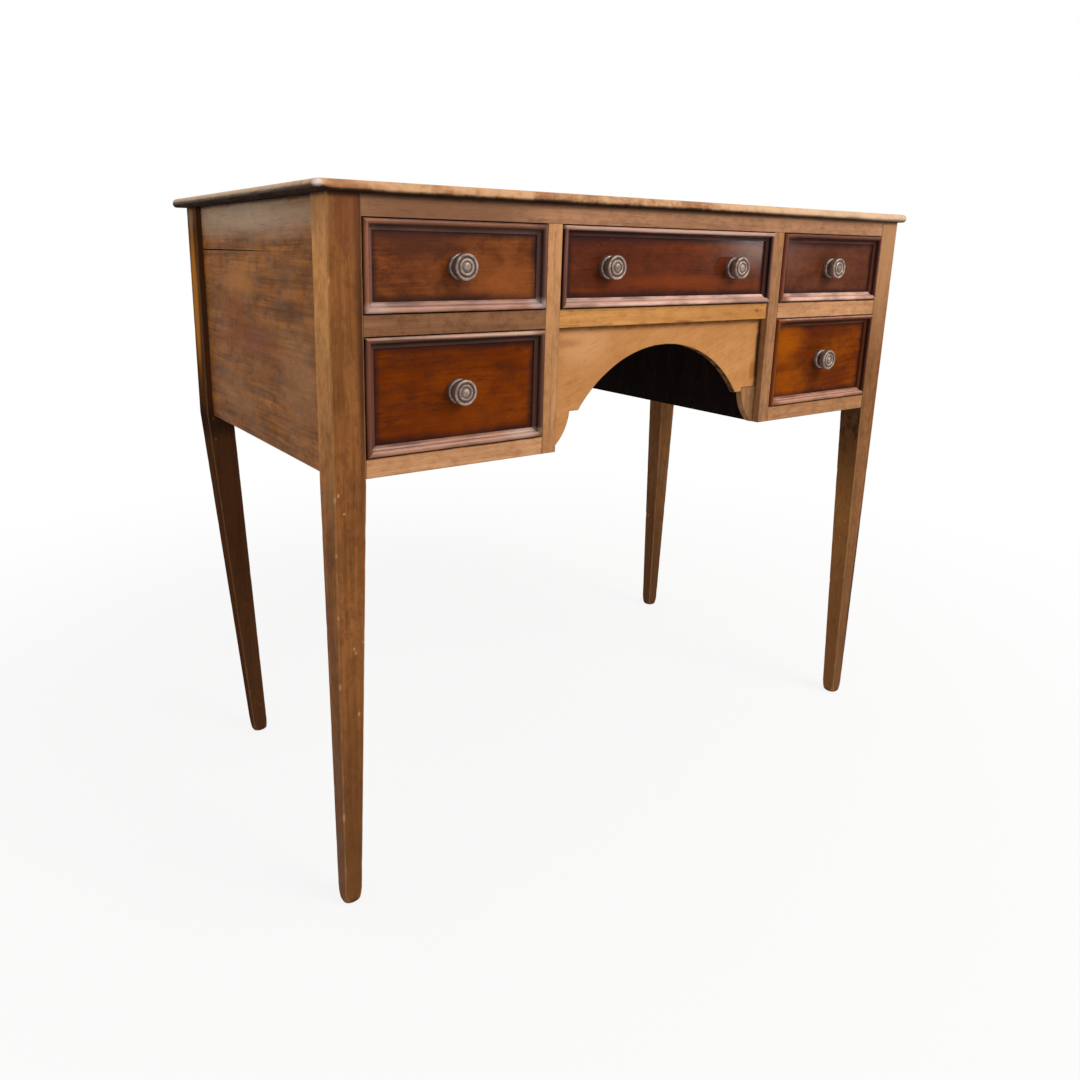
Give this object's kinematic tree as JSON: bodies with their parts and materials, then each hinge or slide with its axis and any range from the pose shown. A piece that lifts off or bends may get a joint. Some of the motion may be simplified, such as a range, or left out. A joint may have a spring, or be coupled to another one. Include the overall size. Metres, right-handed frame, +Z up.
{
  "type": "writing table",
  "caption": "Kneehole writing table on square tapered legs, with a thin moulded top, an arched apron and moulded drawers with turned brass knobs.",
  "frame": {"origin": "on the floor, under the centre of the table's box", "axes": "+X to the right seen from the front, +Y to the back, +Z up"},
  "size_m": [0.918, 0.474, 0.76],
  "materials": {
    "top_wood": "worn polish",
    "leg_wood": "worn polish",
    "panel_wood": "worn polish",
    "frame_wood": "faded polish",
    "drawer_face_wood": "gloss varnish",
    "moulding_wood": "gloss varnish",
    "drawer_lining_wood": "bare",
    "carcass_wood": "bare",
    "aged_brass": "tarnished",
    "iron": "dull"
  },
  "bodies": {
    "carcass": {"apron_bracket_right": "frame_wood", "arched_apron": "frame_wood", "back_panel": "carcass_wood", "bottom_rail_left": "frame_wood", "bottom_rail_right": "frame_wood", "divider_left": "frame_wood", "divider_right": "frame_wood", "drawer_guides": "carcass_wood", "drawer_runners": "carcass_wood", "drawer_stops": "carcass_wood", "kickers": "carcass_wood", "leg_front_left": "leg_wood", "leg_front_right": "leg_wood", "leg_rear_left": "leg_wood", "leg_rear_right": "leg_wood", "mid_rail_center": "frame_wood", "mid_rail_left": "frame_wood", "mid_rail_right": "frame_wood", "partition_left": "carcass_wood", "partition_right": "carcass_wood", "side_panel_left": "panel_wood", "side_panel_right": "panel_wood", "tabletop": "top_wood", "tabletop_screws": "iron", "top_rail": "frame_wood"},
    "upper_left_drawer": {"upper_left_drawer_back": "drawer_lining_wood", "upper_left_drawer_beading": "moulding_wood", "upper_left_drawer_bottom": "drawer_lining_wood", "upper_left_drawer_front": "drawer_face_wood", "upper_left_drawer_knobs": "aged_brass", "upper_left_drawer_nuts": "iron", "upper_left_drawer_sides": "drawer_lining_wood"},
    "lower_left_drawer": {"lower_left_drawer_back": "drawer_lining_wood", "lower_left_drawer_beading": "moulding_wood", "lower_left_drawer_bottom": "drawer_lining_wood", "lower_left_drawer_front": "drawer_face_wood", "lower_left_drawer_knobs": "aged_brass", "lower_left_drawer_nuts": "iron", "lower_left_drawer_sides": "drawer_lining_wood"},
    "center_drawer": {"center_drawer_back": "drawer_lining_wood", "center_drawer_beading": "moulding_wood", "center_drawer_bottom": "drawer_lining_wood", "center_drawer_front": "drawer_face_wood", "center_drawer_knobs": "aged_brass", "center_drawer_nuts": "iron", "center_drawer_sides": "drawer_lining_wood"},
    "upper_right_drawer": {"upper_right_drawer_back": "drawer_lining_wood", "upper_right_drawer_beading": "moulding_wood", "upper_right_drawer_bottom": "drawer_lining_wood", "upper_right_drawer_front": "drawer_face_wood", "upper_right_drawer_knobs": "aged_brass", "upper_right_drawer_nuts": "iron", "upper_right_drawer_sides": "drawer_lining_wood"},
    "lower_right_drawer": {"lower_right_drawer_back": "drawer_lining_wood", "lower_right_drawer_beading": "moulding_wood", "lower_right_drawer_bottom": "drawer_lining_wood", "lower_right_drawer_front": "drawer_face_wood", "lower_right_drawer_knobs": "aged_brass", "lower_right_drawer_nuts": "iron", "lower_right_drawer_sides": "drawer_lining_wood"}
  },
  "joints": [
    {"name": "upper_left_drawer_slide", "type": "slide", "parent": "carcass", "child": "upper_left_drawer", "axis": [0, -1, 0], "range_m": [0, 0.3]},
    {"name": "lower_left_drawer_slide", "type": "slide", "parent": "carcass", "child": "lower_left_drawer", "axis": [0, -1, 0], "range_m": [0, 0.3]},
    {"name": "center_drawer_slide", "type": "slide", "parent": "carcass", "child": "center_drawer", "axis": [0, -1, 0], "range_m": [0, 0.3]},
    {"name": "upper_right_drawer_slide", "type": "slide", "parent": "carcass", "child": "upper_right_drawer", "axis": [0, -1, 0], "range_m": [0, 0.3]},
    {"name": "lower_right_drawer_slide", "type": "slide", "parent": "carcass", "child": "lower_right_drawer", "axis": [0, -1, 0], "range_m": [0, 0.3]}
  ]
}
